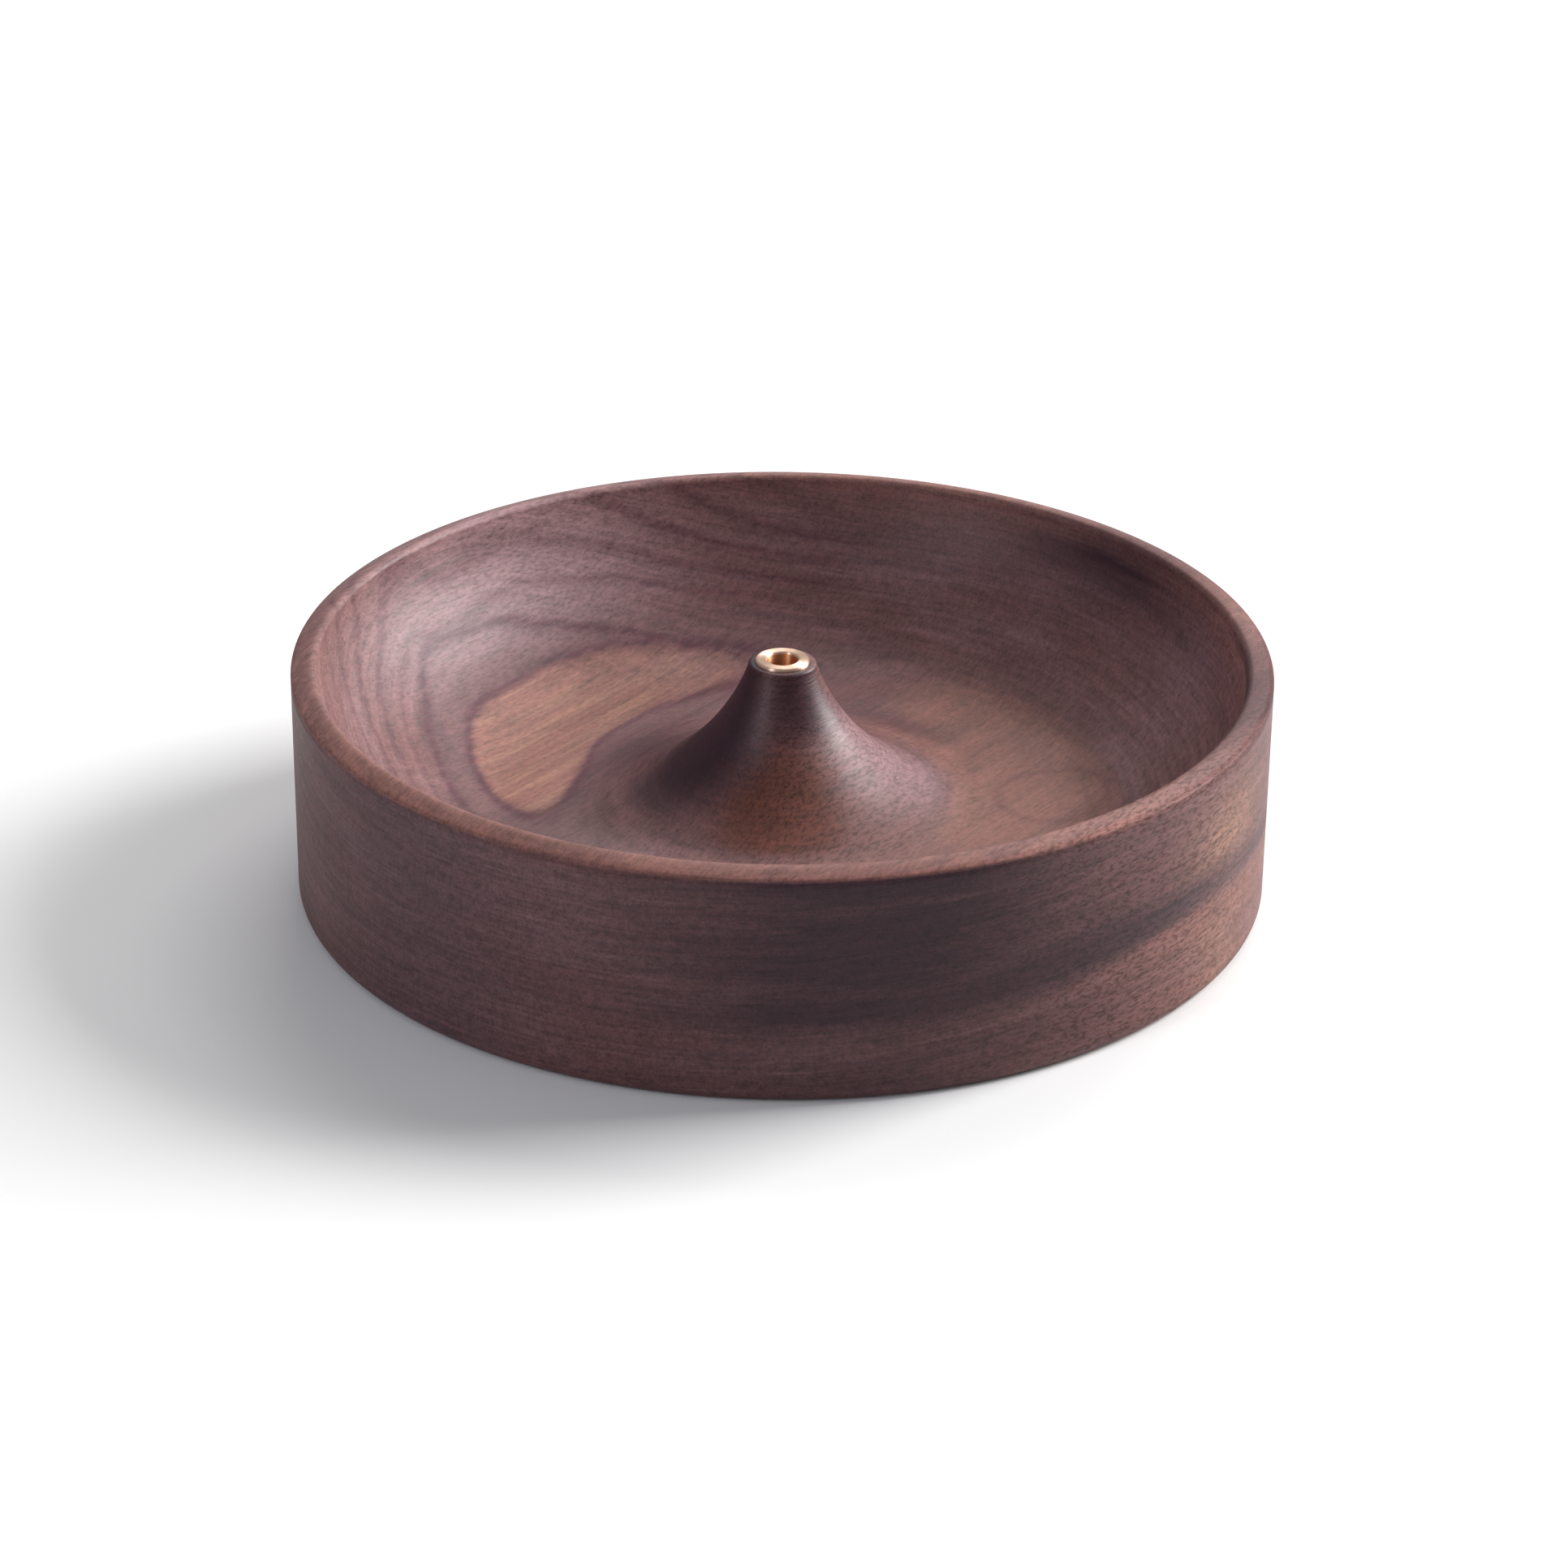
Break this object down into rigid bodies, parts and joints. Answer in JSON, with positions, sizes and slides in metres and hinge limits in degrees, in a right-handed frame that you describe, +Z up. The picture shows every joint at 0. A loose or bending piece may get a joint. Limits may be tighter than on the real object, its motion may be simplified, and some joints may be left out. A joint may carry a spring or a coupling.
{
  "type": "incense tray",
  "caption": "Low round turned wooden dish with a flared cone in its middle, whose brass ferrule holds one upright incense stick while the dish catches the ash.",
  "frame": {"origin": "centre of the flat underside", "axes": "+Z up along the turning axis, out of the stick hole's mouth"},
  "size_m": [0.07, 0.07, 0.0175],
  "materials": {
    "oiled_walnut": "sanded dark walnut with a satin oil finish",
    "polished_brass": "turned and polished brass"
  },
  "bodies": {
    "root": {"tray_body": "oiled_walnut", "brass_ferrule": "polished_brass"}
  },
  "joints": []
}
